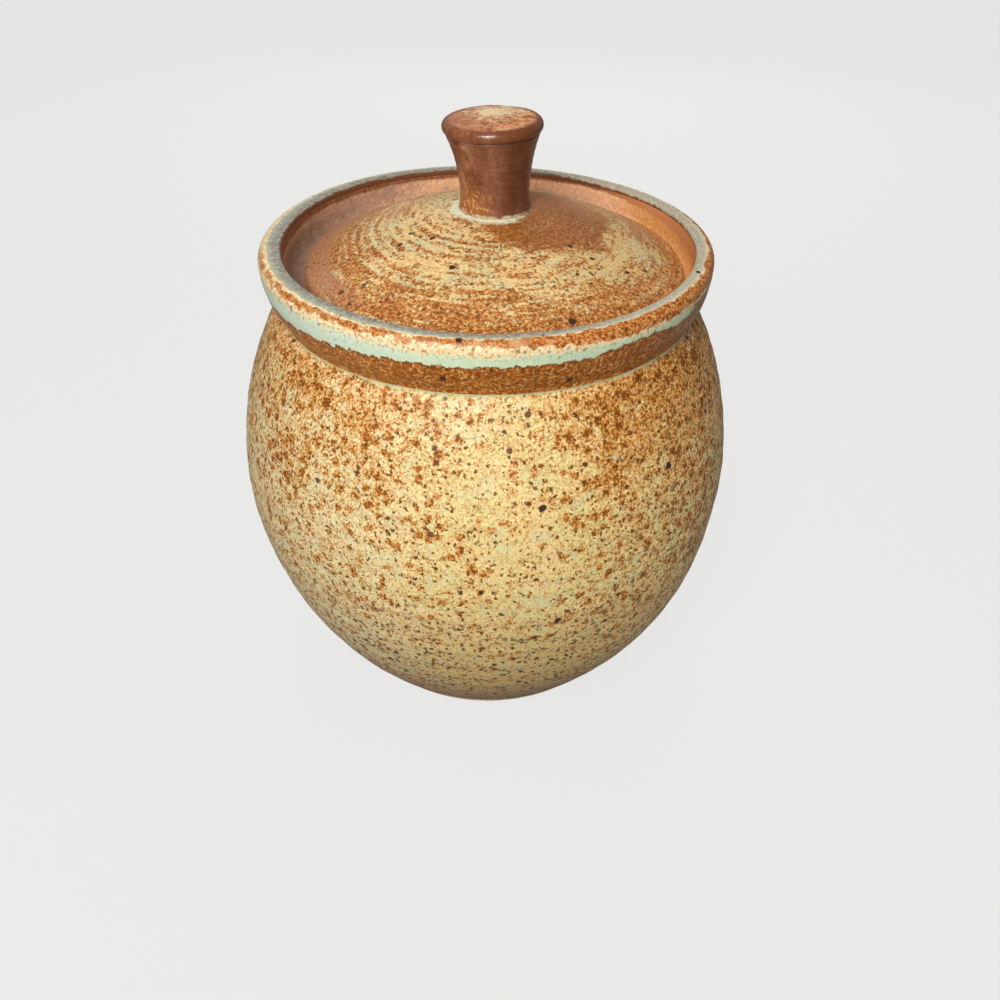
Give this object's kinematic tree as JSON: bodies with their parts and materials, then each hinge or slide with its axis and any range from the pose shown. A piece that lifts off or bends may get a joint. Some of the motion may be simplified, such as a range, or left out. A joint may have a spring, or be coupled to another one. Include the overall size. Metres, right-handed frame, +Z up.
{
  "type": "lidded jar",
  "caption": "Wheel-thrown stoneware jar with a round body, a rounded collar over a crease, and a loose domed lid with a waisted knob that sits on a ledge inside the collar.",
  "frame": {"origin": "centre of the flat foot, on the table", "axes": "+Z up along the axis of the jar, +X to the right as pictured, -Y towards the viewer; the lid stands a little towards +X within its play"},
  "size_m": [0.1206, 0.1206, 0.1398],
  "materials": {
    "vessel_glaze": "satin speckled glaze over iron-bearing stoneware",
    "lid_glaze": "satin speckled glaze, rust brown towards the edge",
    "knob_glaze": "thin dark brown glaze"
  },
  "bodies": {
    "vessel": {"vessel": "vessel_glaze"},
    "lid": {"lid": "lid_glaze", "knob": "knob_glaze"}
  },
  "joints": [
    {"name": "lid_lift", "type": "slide", "parent": "vessel", "child": "lid", "axis": [0, 0, 1], "range_m": [0, 0.12]}
  ]
}
